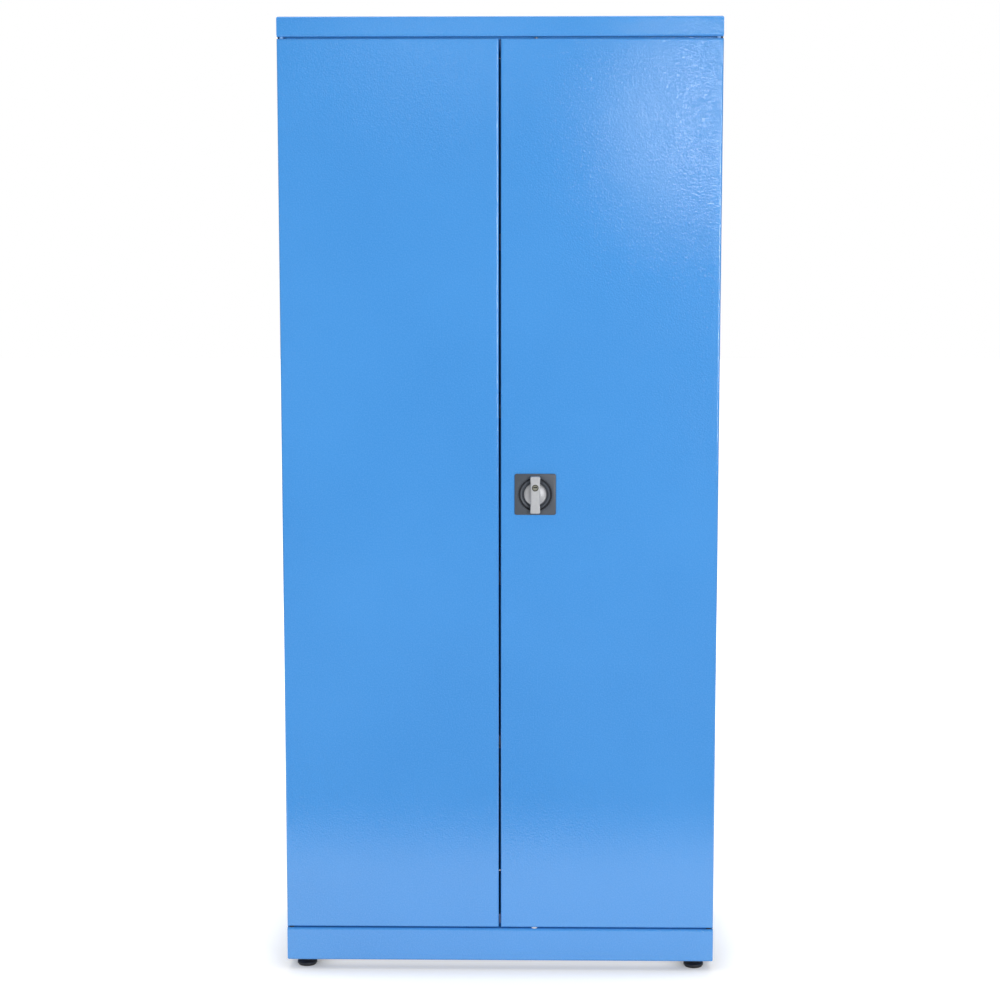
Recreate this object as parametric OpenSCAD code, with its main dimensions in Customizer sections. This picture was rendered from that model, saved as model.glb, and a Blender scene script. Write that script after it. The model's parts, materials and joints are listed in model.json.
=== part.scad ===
// A tall steel tool cabinet with two hinged doors, a three-point lock, four lift-out
// shelves and four levelling feet. Sizes are in millimetres. X runs across the front, Z is
// up and the doors face -Y. The modules measure y from the door faces towards the back.

/* [Overall] */
// Width over the doors
cab_w = 900; // [700:5:1200]
// Height from the floor to the top
cab_h = 1980; // [1500:5:2400]
// Depth from the door faces to the back
cab_d = 420; // [340:5:600]

/* [Sheet metal] */
// Thickness of the folded sheet
sheet = 1; // [0.8:0.1:1.2]
// Outer radius of the folded edges of the doors
fold_r = 4; // [3:0.25:5]
// Outer radius of the folded edges of the crown and the base
trim_r = 4.5; // [2:0.25:4.75]

/* [Crown and base] */
// Height of the crown above the doors
crown_h = 40; // [30:1:60]
// Height of the base below the doors
base_h = 70; // [50:1:110]
// Clear height under the base
under_h = 20; // [16:1:30]
// Width of the crown's folded front return
crown_return = 50; // [44:1:70]
// Width of the returns on the other edges of the crown and base
tray_return = 25; // [15:1:32]

/* [Side panels] */
// Width of the front post that each side panel folds into
post_w = 30; // [24:1:36]
// Depth of the post's inner lip
post_lip = 15; // [8:1:20]
// Width of the side panel's other flanges
panel_flange = 25; // [15:1:29]

/* [Doors] */
// Depth of a door, over its folds
door_t = 18; // [17:0.5:22]
// Gap between the two doors
mid_gap = 4; // [3:0.5:6]
// Gap between the doors and the crown
top_gap = 4; // [3:0.5:6]
// Gap between the base and the doors
low_gap = 3; // [2:0.5:5]
// Width of the doors' inner lips
door_lip = 16; // [12:1:22]
// Clearance between a turning door's corner and the posts
swing_clear = 1.5; // [1:0.1:4]
// Width of the stiffener inside each door
rib_w = 50; // [30:1:80]

/* [Hinge pivots] */
// Diameter of the pivot pins
pin_d = 8; // [6:0.5:9]
// How far a pin reaches into its door
pin_reach = 20; // [14:1:30]
// Depth of a door bush behind the folded edge
bush_l = 14; // [8:1:18]
// Running clearance, on the radius
run_clear = 0.05; // [0.02:0.01:0.1]

/* [Shelves] */
// Height of a shelf's folded edge
shelf_t = 30; // [20:1:45]
// Width of a shelf's folded lips
shelf_lip = 14; // [8:1:20]
// Space between a shelf's end and the upright
shelf_clear = 2; // [1:0.5:6]
// Space from the posts to the front edge of the shelves
shelf_front = 28; // [20:1:60]
// Space behind the shelves
shelf_rear = 12; // [6:1:30]

/* [Uprights] */
// Width of a perforated upright
upright_w = 30; // [22:1:40]
// Depth of a perforated upright
upright_t = 12; // [10:0.5:18]
// Thickness of an upright's steel
upright_s = 1.5; // [1:0.1:2]
// Space between the posts and the front uprights
upright_in = 45; // [30:1:80]
// Distance from one slot to the next
slot_pitch = 25; // [20:1:50]
// Height of a slot
slot_h = 5; // [4:0.5:8]
// Width of a slot
slot_w = 12; // [8:0.5:16]

/* [Lock] */
// Height of the lock's centre above the floor
lock_z = 1014; // [900:1:1100]
// Distance from the middle of the cabinet to the lock
lock_x = 73; // [66:0.5:100]
// Side of the square rosette
plate_w = 85; // [82:0.5:92]
// Thickness of the rosette's plate
plate_t = 3.5; // [3:0.25:5]
// Radius of the rosette's round dish
dish_r = 33; // [31:0.5:34]
// Radius of the handle's domed hub
hub_r = 23; // [19:0.5:24]
// Length of the grip
grip_l = 76; // [60:1:78]
// Width of the grip
grip_w = 21; // [17:0.5:24]
// How far the grip stands out from the doors
grip_out = 20; // [15:0.5:30]
// Diameter of the key plug
plug_d = 12; // [9:0.5:12]
// Distance from the lock's centre up to the key plug
plug_up = 15; // [12:0.5:18]
// Diameter of the spindle
spindle_d = 10; // [8:0.5:10]
// Radius of the circle on which the crank pins stand
crank_r = 14; // [12:0.5:15]
// Diameter of the crank pins
crank_pin_d = 5; // [4:0.5:6]
// Space on each side of a crank pin in its fork
fork_clear = 0.6; // [0.5:0.05:1]
// Diameter of the locking rods
rod_d = 8; // [6:0.5:9]

/* [Feet] */
// Distance from the side of the cabinet to a foot's centre
foot_x_in = 38; // [32:1:60]
// Distance from the front or back to a foot's centre
foot_y_in = 35; // [32:1:60]
// Diameter of a foot pad
pad_d = 42; // [30:1:50]
// Height of a foot pad's rim
pad_h = 8; // [5:0.5:10]
// Diameter of a foot's stud
stud_d = 10; // [8:0.5:12]
// How far a foot screws out
foot_travel = 25; // [10:1:30]

/* [Wall fixing] */
// Distance from the cabinet's sides to the fixing holes
fix_in = 100; // [60:5:200]
// Distance from the top down to the upper fixing holes
fix_down = 260; // [80:5:400]
// Height of the lower fixing holes above the floor
fix_low = 320; // [200:5:400]
// Diameter of the fixing holes
fix_d = 9; // [6:0.5:12]

/* [Hidden] */

$fn = 48;
paint = "#4d99e4";
zinc = "#b9bdc1";
steel = "#a9adb1";
black = "#24262a";
dark = "#545a62";
silver = "#b4b9be";
nylon = "#e4e2da";

eps = 0.01;
// The origin lies on the floor, in the middle of everything, grip included
front_y = (grip_out - cab_d) / 2;

// Levels
base_top = under_h + base_h;
door_z0 = base_top + low_gap;
crown_z0 = cab_h - crown_h;
door_z1 = crown_z0 - top_gap;
door_h = door_z1 - door_z0;
door_w = (cab_w - mid_gap) / 2;

// Pivots: each door turns about the middle of its depth, as far in from the side
pivot_y = door_t / 2;
pivot_x = cab_w / 2 - pivot_y;
corner_sweep = (pivot_y - fold_r) * sqrt(2) + fold_r;
post_y = pivot_y + corner_sweep + swing_clear;
pin_r = pin_d / 2;
pin_head_r = 5.5;
pin_head_h = 3;
bush_flange_r = pivot_y - fold_r + 2;
bush_flange_h = 2.5;
bush_wall = 1.2;

// Lock planes, from the door faces backwards. They keep their places beside the rods, which
// run in the middle of the door
dish_floor_y = pivot_y - 6.5;
dish_back_y = dish_floor_y + 1.5;
plane_gap = 0.5;
leaf = 2.5;
bolt_y = dish_back_y + plane_gap;
disc_y = bolt_y + leaf + plane_gap;
disc_t = 3;
fork_y = disc_y + disc_t + plane_gap;
bridge_y = door_t - 3;
bridge_t = 1.5;
spindle_r = spindle_d / 2;
crank_pin_r = crank_pin_d / 2;
disc_r = crank_r + crank_pin_r + 2;
fork_half = crank_pin_r + fork_clear;
fork_wall = 4;
pin_off = crank_r * sin(45);
nut_r = spindle_r + 1.6;
fork_in = nut_r + plane_gap;
fork_out = crank_r + fork_half;
arm_z = disc_r + 6;
arm_h = 6;
bolt_bar_z = fork_out;
bolt_bar_h = 6;
bolt_head = [28, 6, 14];
bolt_head_y = pivot_y - bolt_head[1] / 2;
bolt_lap = 5;
bolt_mid_z = bolt_bar_z + bolt_bar_h / 2;
slot_clear = 0.5;
rod_r = rod_d / 2;
rod_proud = 2;
keeper_r = rod_r + 2;
bracket_half = plate_w / 2 - 1;
leg_x = bracket_half - 3;
screw_off = plate_w / 2 - 6.5;
screw_r = 2;
screw_clear = 0.15;
hub_back_y = dish_floor_y - plane_gap;
ring_rise = 1.8;
dish_clear = 0.3;
spindle_seat = 5;
spindle_step = 1.5;
plug_l = 9;
plug_inset = 0.4;
bolt_inset = 0.5;

// Shelves and their uprights
upright_z0 = base_top + 10;
upright_h = crown_z0 - 10 - upright_z0;
slot_z0 = upright_z0 + slot_pitch / 2;
slot_count = floor((upright_h - slot_pitch) / slot_pitch) + 1;
shelf_count = 4;
shelf_step = floor(slot_count / (shelf_count + 1));
upright_face = cab_w / 2 - sheet - upright_t;
shelf_half = upright_face - shelf_clear;
shelf_y0 = post_y + shelf_front;
shelf_d = cab_d - sheet - shelf_rear - shelf_y0;
front_upright_y = post_y + upright_in;
rear_upright_y = cab_d - 2 * sheet - upright_in - upright_w;
clip_t = 1.5;
clip_w = 10;
clip_ledge = 13;
clip_back = 24;

// Feet
gusset_t = 3;
gusset_z = under_h + sheet;
gusset_w = 70;
nut_h = 10;
nut_z = gusset_z + gusset_t;
collar_z = 14;
foot_x = cab_w / 2 - foot_x_in;
stud_top = nut_z + nut_h + foot_travel + 2;

// Small trim
stop_t = 1.5;
stop_drop = 25;
stop_foot = 20;
bumper_r = 5;
bumper_x = [84, cab_w / 2 - post_w - 63];
bumper_gap = 0.2;
washer_gap = 0.1;

// Every piece is drawn from the door faces and then moved to the origin
module placed() {
    translate([0, front_y, 0])
        children();
}

// The same piece on the right, for side = 1, or on the left, for side = -1
module on_side(side) {
    mirror([side > 0 ? 0 : 1, 0, 0])
        children();
}

// Moves to the lock's centre on the door faces
module at_lock() {
    translate([lock_x, 0, lock_z])
        children();
}

// A cylinder or shape drawn along Z, laid along Y instead, growing to the back
module along_y(y) {
    translate([0, y, 0])
        rotate([-90, 0, 0])
            children();
}

// A rectangle with round corners, from the origin
module round_rect(w, h, r) {
    translate([r, 0])
        square([w - 2 * r, h]);
    translate([0, r])
        square([w, h - 2 * r]);
    for (x = [r, w - r], y = [r, h - r])
        translate([x, y])
            circle(r);
}

// A block whose edges along X and along Y are rounded
module soft_block(w, l, t, r) {
    intersection() {
        translate([0, l, 0])
            rotate([90, 0, 0])
                linear_extrude(l)
                    round_rect(w, t, r);
        rotate([90, 0, 90])
            linear_extrude(w)
                round_rect(l, t, r);
    }
}

// A folded sheet tray, face up and open below inside lips on its four edges:
// lips = [left and right, near, far]
module tray(w, l, t, r, lips) {
    difference() {
        soft_block(w, l, t, r);
        translate([sheet, sheet, sheet])
            soft_block(w - 2 * sheet, l - 2 * sheet, t - 2 * sheet, r - sheet);
        translate([lips[0], lips[1], -eps])
            cube([w - 2 * lips[0], l - lips[1] - lips[2], sheet + 2 * eps]);
    }
}

// A flanged plain bush, flange on z = 0, with its bore along Z and a spigot below
module bush(bore_r) {
    difference() {
        union() {
            cylinder(r1 = pivot_y - fold_r, r2 = bush_flange_r, h = bush_flange_h / 2);
            translate([0, 0, bush_flange_h / 2])
                cylinder(r = bush_flange_r, h = bush_flange_h / 2);
            cylinder(r = bore_r + bush_wall, h = bush_l);
            translate([0, 0, -sheet])
                cylinder(r = bore_r + bush_wall, h = sheet + eps);
        }
        translate([0, 0, -sheet - eps])
            cylinder(r = bore_r, h = bush_l + sheet + 2 * eps);
    }
}

// A hole through a sheet that lies level, at [x, y], from height z upwards
module level_hole(x, y, z, r) {
    translate([x, y, z - eps])
        cylinder(r = r, h = sheet + 2 * eps);
}

module crown() {
    color(paint) placed() difference() {
        translate([-cab_w / 2, 0, crown_z0])
            tray(cab_w, cab_d, crown_h, trim_r, [tray_return, crown_return, tray_return]);
        for (x = [-pivot_x, pivot_x])
            level_hole(x, pivot_y, crown_z0, pin_r + run_clear);
        level_hole(lock_x, pivot_y, crown_z0, keeper_r);
    }
}

module base() {
    color(paint) placed() difference() {
        translate([-cab_w / 2, 0, under_h])
            tray(cab_w, cab_d, base_h, trim_r, [tray_return, tray_return, tray_return]);
        for (x = [-pivot_x, pivot_x])
            level_hole(x, pivot_y, base_top - sheet, pin_r + run_clear);
        level_hole(lock_x, pivot_y, base_top - sheet, keeper_r);
    }
}

// A side panel with its folded front post, drawn for the right side
module side_panel(side) {
    panel_h = crown_z0 - base_top;
    panel_d = cab_d - sheet - post_y;
    color(paint) placed() on_side(side) translate([cab_w / 2, post_y, base_top]) {
        difference() {
            translate([-panel_flange, 0, 0])
                cube([panel_flange, panel_d, panel_h]);
            translate([-panel_flange - eps, sheet, sheet])
                cube([panel_flange - sheet + eps, panel_d - 2 * sheet, panel_h - 2 * sheet]);
        }
        translate([-post_w, 0, 0])
            cube([post_w - panel_flange + eps, sheet, panel_h]);
        translate([-post_w, 0, 0])
            cube([sheet, post_lip, panel_h]);
    }
}

module back_panel() {
    color(paint) placed() difference() {
        translate([-cab_w / 2, cab_d - sheet, base_top])
            cube([cab_w, sheet, crown_z0 - base_top]);
        for (side = [-1, 1], z = [fix_low, cab_h - fix_down])
            translate([side * (cab_w / 2 - fix_in), 0, z])
                along_y(cab_d - sheet - eps)
                    cylinder(d = fix_d, h = sheet + 2 * eps);
    }
}

// The angle behind the doors' upper or lower edge
module stop_angle() {
    w = cab_w - 2 * post_w;
    translate([-w / 2, post_y, 0]) {
        cube([w, stop_t, stop_drop]);
        cube([w, stop_foot, stop_t]);
    }
}

module upper_door_stop() {
    color(paint) placed() translate([0, 0, crown_z0])
        mirror([0, 0, 1])
            stop_angle();
}

module lower_door_stop() {
    color(paint) placed() translate([0, 0, base_top])
        stop_angle();
}

// A slotted upright on the inner face of a side panel
module upright(side, y) {
    color(zinc) placed() on_side(side) translate([upright_face, y, upright_z0]) difference() {
        cube([upright_t, upright_w, upright_h]);
        translate([upright_s, upright_s, -eps])
            cube([upright_t, upright_w - 2 * upright_s, upright_h + 2 * eps]);
        for (k = [0 : slot_count - 1])
            translate([-eps, (upright_w - slot_w) / 2, slot_z0 - upright_z0 + k * slot_pitch])
                cube([upright_s + 2 * eps, slot_w, slot_h]);
    }
}

// The height of a shelf's underside, which is the top of its clips' ledges
function shelf_z(i) = slot_z0 + i * shelf_step * slot_pitch + slot_h;

// One clip: a ledge, a back plate and a tongue that hooks down behind its slot
module clip() {
    slot_gap = 0.5;
    hook_gap = 0.3;
    hook_drop = 6;
    hook_x = upright_s + hook_gap;
    translate([-clip_t, -clip_w / 2, -clip_back])
        cube([clip_t, clip_w, clip_back]);
    translate([-clip_ledge, -clip_w / 2, -clip_t])
        cube([clip_ledge, clip_w, clip_t]);
    translate([-eps, -clip_w / 2, slot_gap - slot_h])
        cube([hook_x + clip_t + eps, clip_w, slot_h - 2 * slot_gap]);
    translate([hook_x, -clip_w / 2, -slot_h - hook_drop])
        cube([clip_t, clip_w, hook_drop + slot_gap + eps]);
}

module shelf_clips() {
    color(steel) placed()
        for (i = [1 : shelf_count], side = [-1, 1], y = [front_upright_y, rear_upright_y])
            on_side(side)
                translate([upright_face, y + upright_w / 2, shelf_z(i)])
                    clip();
}

module shelf(i) {
    color(zinc) placed()
        translate([-shelf_half, shelf_y0, shelf_z(i)])
            tray(2 * shelf_half, shelf_d, shelf_t, sheet + 1.5, [shelf_lip, shelf_lip, shelf_lip]);
}

module door_bumpers() {
    thick = post_y - door_t - bumper_gap;
    color(black) placed()
        for (side = [-1, 1], x = bumper_x, z = [door_z0 + door_lip / 2, door_z1 - door_lip / 2])
            translate([side * x, 0, z])
                along_y(door_t + bumper_gap)
                    cylinder(r = bumper_r, h = thick);
}

module door_magnets() {
    thick = post_y - door_t - bumper_gap;
    color(black) placed()
        for (x = [-35, 35])
            translate([x - 20, door_t + bumper_gap, door_z1 - door_lip + 2])
                cube([40, thick, 12]);
}

module pivot_pins(side) {
    color(steel) placed() translate([side * pivot_x, pivot_y, 0]) {
        translate([0, 0, door_z1 - pin_reach])
            cylinder(r = pin_r, h = crown_z0 - door_z1 + pin_reach + sheet + eps);
        translate([0, 0, crown_z0 + sheet])
            cylinder(r = pin_head_r, h = pin_head_h);
        translate([0, 0, base_top - sheet - eps])
            cylinder(r = pin_r, h = low_gap + pin_reach + sheet + eps);
        translate([0, 0, base_top - sheet - pin_head_h])
            cylinder(r = pin_head_r, h = pin_head_h);
    }
}

module pivot_washers() {
    color(steel) placed()
        for (x = [-pivot_x, pivot_x])
            translate([x, pivot_y, base_top])
                difference() {
                    cylinder(r = pin_head_r, h = low_gap - washer_gap);
                    translate([0, 0, -eps])
                        cylinder(r = pin_r + run_clear, h = low_gap);
                }
}

// The four places of the feet: side = -1 or 1, row = 0 at the front or 1 at the back
module at_foot(side, row) {
    translate([side * foot_x, row == 0 ? foot_y_in : cab_d - foot_y_in, 0])
        children();
}

module foot_gussets() {
    color(steel) placed()
        for (side = [-1, 1], row = [0, 1])
            difference() {
                translate([side > 0 ? cab_w / 2 - trim_r - gusset_w : -cab_w / 2 + trim_r,
                        row == 0 ? trim_r : cab_d - trim_r - gusset_w, gusset_z])
                    cube([gusset_w, gusset_w, gusset_t]);
                at_foot(side, row)
                    translate([0, 0, gusset_z - eps])
                        cylinder(r = stud_d / 2 + run_clear, h = gusset_t + 2 * eps);
            }
}

module foot_nuts() {
    color(steel) placed()
        for (side = [-1, 1], row = [0, 1])
            at_foot(side, row)
                translate([0, 0, nut_z])
                    difference() {
                        cylinder(r = stud_d, h = nut_h, $fn = 6);
                        translate([0, 0, -eps])
                            cylinder(r = stud_d / 2 + run_clear, h = nut_h + 2 * eps);
                    }
}

// The pad's rim stands on a narrower sole, and its neck holds the stud
module foot_pad(side, row) {
    r = pad_d / 2;
    neck_r = stud_d / 2 + 5;
    color(black) placed() at_foot(side, row)
        rotate_extrude()
            difference() {
                polygon([
                    [0, 0], [r - 2.5, 0], [r - 1.5, 2.5], [r - 0.6, 3], [r, 4],
                    [r, pad_h - 1.5], [r - 1.5, pad_h], [neck_r + 1, pad_h + 2],
                    [neck_r, collar_z], [0, collar_z]
                ]);
                translate([0, pad_h])
                    square([stud_d / 2, collar_z]);
            }
}

module foot_stud(side, row) {
    color(steel) placed() at_foot(side, row) {
        translate([0, 0, pad_h])
            cylinder(r = stud_d / 2, h = stud_top - pad_h);
        translate([0, 0, collar_z])
            cylinder(r = stud_d * 0.85, h = under_h - collar_z, $fn = 6);
    }
}

// A door pan on the right, with its face on y = 0 and open at the back
module door_pan() {
    translate([mid_gap / 2, door_t, door_z0])
        rotate([90, 0, 0])
            tray(door_w, door_h, door_t, fold_r, [door_lip, door_lip, door_lip]);
}

// The holes that the bushes on a door's top and bottom folds sit in
module fold_holes(x) {
    for (z = [door_z0, door_z1 - sheet])
        level_hole(x, pivot_y, z, pin_r + run_clear + bush_wall + run_clear);
}

// The window that the side bolt passes, through sheet of thickness t
module bolt_window(x, t) {
    translate([x - eps, bolt_head_y - slot_clear, lock_z + bolt_mid_z - bolt_head[2] / 2 - slot_clear])
        cube([t + 2 * eps, bolt_head[1] + 2 * slot_clear, bolt_head[2] + 2 * slot_clear]);
}

module left_door_skin() {
    color(paint) placed() difference() {
        mirror([1, 0, 0])
            door_pan();
        fold_holes(-pivot_x);
        bolt_window(-mid_gap / 2 - sheet, sheet);
    }
}

module right_door_skin() {
    rod_bush_r = rod_r + run_clear + bush_wall + run_clear;
    color(paint) placed() difference() {
        door_pan();
        fold_holes(pivot_x);
        for (z = [door_z0, door_z1 - sheet])
            level_hole(lock_x, pivot_y, z, rod_bush_r);
        bolt_window(mid_gap / 2, sheet);
        at_lock() {
            along_y(-eps)
                cylinder(r = dish_r, h = sheet + 2 * eps);
            for (x = [-screw_off, screw_off], z = [-screw_off, screw_off])
                translate([x, 0, z])
                    along_y(-eps)
                        cylinder(r = screw_r + screw_clear, h = sheet + 2 * eps);
        }
    }
}

// A hat section down the middle of a door's inner face
module door_rib(side) {
    deep = door_t - 3 - sheet;
    foot = 12;
    end_gap = 40;
    color(paint) placed() on_side(side)
        translate([mid_gap / 2 + door_w / 2, sheet, door_z0 + end_gap])
            linear_extrude(door_h - 2 * end_gap)
                difference() {
                    union() {
                        translate([-rib_w / 2, 0])
                            square([rib_w, deep]);
                        translate([-rib_w / 2 - foot, 0])
                            square([rib_w + 2 * foot, sheet]);
                    }
                    translate([-rib_w / 2 + sheet, -eps])
                        square([rib_w - 2 * sheet, deep - sheet + eps]);
                }
}

// The two bushes on a door's folds, at x
module fold_bushes(x, bore_r) {
    translate([x, pivot_y, door_z0 + sheet])
        bush(bore_r);
    translate([x, pivot_y, door_z1 - sheet])
        mirror([0, 0, 1])
            bush(bore_r);
}

module door_bushes(side) {
    color(nylon) placed()
        fold_bushes(side * pivot_x, pin_r + run_clear);
}

module rod_bushes() {
    color(nylon) placed()
        fold_bushes(lock_x, rod_r + run_clear);
}

module side_strike() {
    strike_t = 2;
    border = 5;
    h = bolt_head[2] + 2 * border;
    x = -mid_gap / 2 - sheet - strike_t;
    color(steel) placed() difference() {
        translate([x, fold_r, lock_z + bolt_mid_z - h / 2])
            cube([strike_t, door_t - 2 * fold_r, h]);
        bolt_window(x, strike_t);
    }
}

// The square rosette, with a raised ring round a dish that the handle turns in
module lock_rosette() {
    ring = 3;
    rise = ring_rise;
    floor_r = hub_r + 3;
    color(dark) placed() at_lock() {
        difference() {
            translate([-plate_w / 2, 0, -plate_w / 2])
                rotate([90, 0, 0])
                    linear_extrude(plate_t)
                        round_rect(plate_w, plate_w, 4);
            along_y(-plate_t - eps)
                cylinder(r = dish_r, h = plate_t + 2 * eps);
            for (x = [-screw_off, screw_off], z = [-screw_off, screw_off])
                translate([x, 0, z])
                    along_y(1 - plate_t)
                        cylinder(r = screw_r + run_clear, h = plate_t);
        }
        along_y(0)
            rotate_extrude()
                polygon([
                    [dish_r + ring, -plate_t + eps], [dish_r + ring, -plate_t - rise + 0.8],
                    [dish_r + ring - 0.8, -plate_t - rise], [dish_r + 0.7, -plate_t - rise],
                    [dish_r, -plate_t - rise + 0.8], [dish_r - 1, -plate_t + 1],
                    [floor_r, dish_floor_y], [spindle_r + run_clear, dish_floor_y],
                    [spindle_r + run_clear, dish_back_y], [floor_r + 1, dish_back_y],
                    [dish_r - 0.4, 0], [dish_r - 0.4, -plate_t + 1],
                    [dish_r + 0.2, -plate_t + eps]
                ]);
    }
}

// A backing plate inside the door, with a bridge that carries the spindle's end
module lock_bracket() {
    half = bracket_half;
    bridge_half = 20;
    color(steel) placed() at_lock() difference() {
        union() {
            translate([-half, sheet, -half])
                cube([2 * half, bridge_t, 2 * half]);
            for (x = [-leg_x - bridge_t, leg_x])
                translate([x, sheet, -bridge_half])
                    cube([bridge_t, bridge_y + bridge_t - sheet, 2 * bridge_half]);
            translate([-leg_x - bridge_t, bridge_y, -bridge_half])
                cube([2 * (leg_x + bridge_t), bridge_t, 2 * bridge_half]);
        }
        along_y(sheet - eps)
            cylinder(r = dish_r + dish_clear, h = bridge_t + 2 * eps);
        along_y(bridge_y - eps)
            cylinder(r = spindle_r - spindle_step + run_clear, h = bridge_t + 2 * eps);
        for (x = [-screw_off, screw_off], z = [-screw_off, screw_off])
            translate([x, 0, z])
                along_y(sheet - eps)
                    cylinder(r = screw_r + screw_clear, h = bridge_t + 2 * eps);
        translate([-leg_x - bridge_t - eps, sheet + bridge_t, bolt_bar_z - 1])
            cube([bridge_t + 2 * eps, leaf + 5, bolt_bar_h + 2]);
    }
}

module lock_screws() {
    color(steel) placed() at_lock()
        for (x = [-screw_off, screw_off], z = [-screw_off, screw_off])
            translate([x, 0, z]) {
                along_y(1.2 - plate_t)
                    cylinder(r = screw_r, h = plate_t - 1.2 + sheet + bridge_t + eps);
                along_y(sheet + bridge_t)
                    cylinder(r = 2 * screw_r, h = 2.2);
            }
}

module rod_guides() {
    guide = [22, door_t - 2 * sheet, 14];
    color(nylon) placed()
        for (z = [(lock_z + door_z0) / 2, (lock_z + door_z1) / 2])
            translate([lock_x, pivot_y, z])
                difference() {
                    cube(guide, center = true);
                    cylinder(r = rod_r + run_clear, h = guide[2] + 1, center = true);
                }
}

// A silver dome with a waisted grip across it
module handle_grip() {
    waist_r = 200;
    waist = 1.4;
    turn_gap = 0.7;
    bar_y = -plate_t - ring_rise - turn_gap;
    rim_y = -2;
    dome_h = rim_y - bar_y + 3;
    arc_steps = 12;
    color(silver) placed() at_lock() difference() {
        union() {
            along_y(0)
                rotate_extrude()
                    polygon([
                        [0, hub_back_y], [hub_r, hub_back_y],
                        for (k = [0 : arc_steps])
                            [hub_r * cos(90 * k / arc_steps), rim_y - dome_h * sin(90 * k / arc_steps)]
                    ]);
            translate([-grip_w / 2, bar_y, -grip_l / 2])
                rotate([90, 0, 0])
                    linear_extrude(grip_out + bar_y)
                        difference() {
                            round_rect(grip_w, grip_l, 3);
                            for (x = [waist - waist_r, grip_w + waist_r - waist])
                                translate([x, grip_l / 2])
                                    circle(waist_r, $fn = 360);
                        }
        }
        along_y(hub_back_y - spindle_seat)
            cylinder(r = spindle_r + run_clear, h = spindle_seat + eps);
        translate([0, 0, plug_up])
            along_y(-grip_out - eps)
                cylinder(r = plug_d / 2 + run_clear, h = plug_l + 2 * plug_inset + eps);
    }
}

module handle_spindle() {
    color(steel) placed() at_lock() {
        along_y(hub_back_y - spindle_seat)
            cylinder(r = spindle_r, h = bridge_y - plane_gap - hub_back_y + spindle_seat);
        along_y(bridge_y - 1)
            cylinder(r = spindle_r - spindle_step, h = bridge_t + 1);
    }
}

// The disc that turns with the handle. Its pins stand in the three forks
module crank_disc() {
    color(steel) placed() at_lock() {
        difference() {
            along_y(disc_y)
                cylinder(r = disc_r, h = disc_t);
            along_y(disc_y - eps)
                cylinder(r = spindle_r + run_clear, h = disc_t + 2 * eps);
        }
        for (s = [-1, 1])
            translate([s * pin_off, 0, -s * pin_off])
                along_y(disc_y + disc_t - eps)
                    cylinder(r = crank_pin_r, h = leaf + plane_gap + eps);
        translate([pin_off, 0, pin_off])
            along_y(bolt_y)
                cylinder(r = crank_pin_r, h = leaf + plane_gap + eps);
    }
}

module spindle_nut() {
    color(steel) placed() at_lock()
        along_y(disc_y + disc_t)
            difference() {
                cylinder(r = nut_r, h = 3.2, $fn = 6);
                translate([0, 0, -eps])
                    cylinder(r = spindle_r + run_clear, h = 4);
            }
}

module key_plug() {
    keyway = 1.8;
    color(silver) placed() at_lock() translate([0, 0, plug_up]) difference() {
        along_y(plug_inset - grip_out)
            cylinder(r = plug_d / 2, h = plug_l);
        translate([-plug_d / 3, -grip_out, -keyway / 2])
            cube([plug_d * 2 / 3, plug_l / 2, keyway]);
    }
}

// The fork of the upper rod, which stands to the right of the spindle. Its arm ends in a
// cradle that holds the rod from behind
module yoke() {
    top = arm_z + arm_h;
    low = -pin_off - fork_half - fork_wall;
    cradle = rod_r + 2;
    translate([fork_out, fork_y, low])
        cube([fork_wall, leaf, top - low]);
    for (z = [low, -pin_off + fork_half])
        translate([fork_in, fork_y, z])
            cube([fork_out - fork_in + eps, leaf, fork_wall]);
    difference() {
        union() {
            translate([-cradle, fork_y, arm_z])
                cube([fork_out + cradle + eps, leaf, arm_h]);
            translate([-cradle, pivot_y, arm_z])
                cube([2 * cradle, cradle, arm_h]);
        }
        translate([0, pivot_y, arm_z - eps])
            cylinder(r = rod_r + run_clear, h = arm_h + 2 * eps);
    }
}

module upper_yoke() {
    color(steel) placed() at_lock()
        yoke();
}

// The lower fork is the upper one turned half round
module lower_yoke() {
    color(steel) placed() at_lock()
        rotate([0, 180, 0])
            yoke();
}

module upper_rod() {
    z0 = lock_z + arm_z;
    color(steel) placed() translate([lock_x, pivot_y, z0])
        cylinder(r = rod_r, h = door_z1 + rod_proud - z0);
}

module lower_rod() {
    color(steel) placed() translate([lock_x, pivot_y, door_z0])
        cylinder(r = rod_r, h = lock_z - arm_z - door_z0);
}

// The flat bolt that slides into the left door, with its fork above the spindle
module side_bolt() {
    tip_x = mid_gap / 2 + bolt_inset - lock_x;
    head_end = tip_x + bolt_head[0];
    color(steel) placed() at_lock() {
        translate([tip_x, bolt_head_y, bolt_mid_z - bolt_head[2] / 2])
            cube(bolt_head);
        translate([head_end - bolt_lap, bolt_y, bolt_bar_z])
            cube([pin_off + fork_half + fork_wall - head_end + bolt_lap, leaf, bolt_bar_h]);
        for (x = [pin_off - fork_half - fork_wall, pin_off + fork_half])
            translate([x, bolt_y, fork_in])
                cube([fork_wall, leaf, bolt_bar_z - fork_in + eps]);
    }
}

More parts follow.
